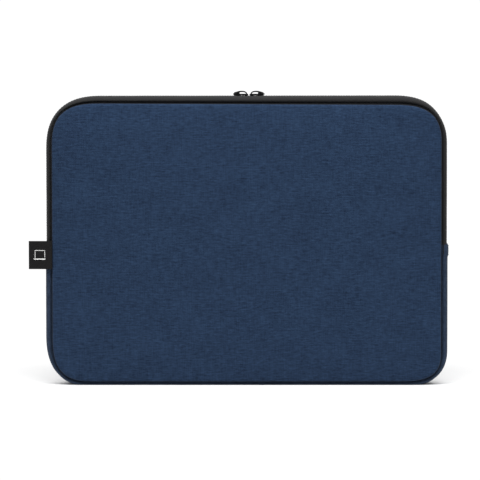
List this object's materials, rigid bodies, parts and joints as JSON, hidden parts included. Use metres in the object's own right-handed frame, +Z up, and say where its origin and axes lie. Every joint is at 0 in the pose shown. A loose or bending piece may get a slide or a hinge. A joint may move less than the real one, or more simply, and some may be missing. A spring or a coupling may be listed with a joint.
{
  "type": "laptop sleeve",
  "caption": "Slim padded fabric sleeve with rounded corners, a zip over the top and upper sides, a folding front and a ribbon label at one side.",
  "frame": {"origin": "centre of the flat underside of the bottom gusset, on which the sleeve stands", "axes": "+X across the width to the right as seen from the front, +Y from the front face to the back face, +Z up towards the zip"},
  "size_m": [0.4131, 0.0428, 0.29],
  "materials": {
    "body_fabric": "matte",
    "gusset_fabric": "matte",
    "foam": "matte",
    "lining": "matte",
    "zip_tape": "matte",
    "zip_coil": "satin",
    "binding": "matte",
    "slider_metal": "satin",
    "pull_metal": "satin",
    "label_ribbon": "satin"
  },
  "bodies": {
    "root": {"front_panel_lower": "body_fabric", "front_foam_lower": "foam", "front_lining_lower": "lining", "back_panel": "body_fabric", "back_foam": "foam", "back_lining": "lining", "bottom_gusset": "gusset_fabric", "gusset_lining": "lining", "back_zip_tape": "zip_tape", "back_zip_coil": "zip_coil", "front_binding_lower": "binding", "back_binding": "binding", "left_zip_end_tab": "gusset_fabric", "right_zip_end_tab": "gusset_fabric"},
    "front_flap": {"front_panel_upper": "body_fabric", "front_foam_upper": "foam", "front_lining_upper": "lining", "front_zip_tape": "zip_tape", "front_zip_coil": "zip_coil", "front_binding_upper": "binding"},
    "left_slider": {"left_slider": "slider_metal", "left_pull_bail": "pull_metal"},
    "right_slider": {"right_slider": "slider_metal", "right_pull_bail": "pull_metal"},
    "left_pull": {"left_pull_tab": "pull_metal"},
    "right_pull": {"right_pull_tab": "pull_metal"},
    "label": {"side_label": "label_ribbon"}
  },
  "joints": [
    {"name": "front_fold", "type": "hinge", "parent": "root", "child": "front_flap", "pos_m": [0, -0.013, 0.143], "axis": [1, 0, 0], "range_deg": [0, 80], "stiffness_Nm_per_rad": 0.15},
    {"name": "left_zip_run", "type": "slide", "parent": "root", "child": "left_slider", "axis": [-1, 0, 0], "range_m": [0, 0.1365]},
    {"name": "right_zip_run", "type": "slide", "parent": "root", "child": "right_slider", "axis": [1, 0, 0], "range_m": [0, 0.1365]},
    {"name": "left_pull_swing", "type": "hinge", "parent": "left_slider", "child": "left_pull", "pos_m": [-0.0101, 0.00595, 0.2875], "axis": [0.9613, 0, 0.2756], "range_deg": [0, 170]},
    {"name": "right_pull_swing", "type": "hinge", "parent": "right_slider", "child": "right_pull", "pos_m": [0.0145, 0.00595, 0.2875], "axis": [0.9613, 0, -0.2756], "range_deg": [0, 170]},
    {"name": "label_flip", "type": "hinge", "parent": "root", "child": "label", "pos_m": [-0.193, -0.0133, 0.129], "axis": [0, 0, 1], "range_deg": [0, 170], "stiffness_Nm_per_rad": 0.0005}
  ]
}
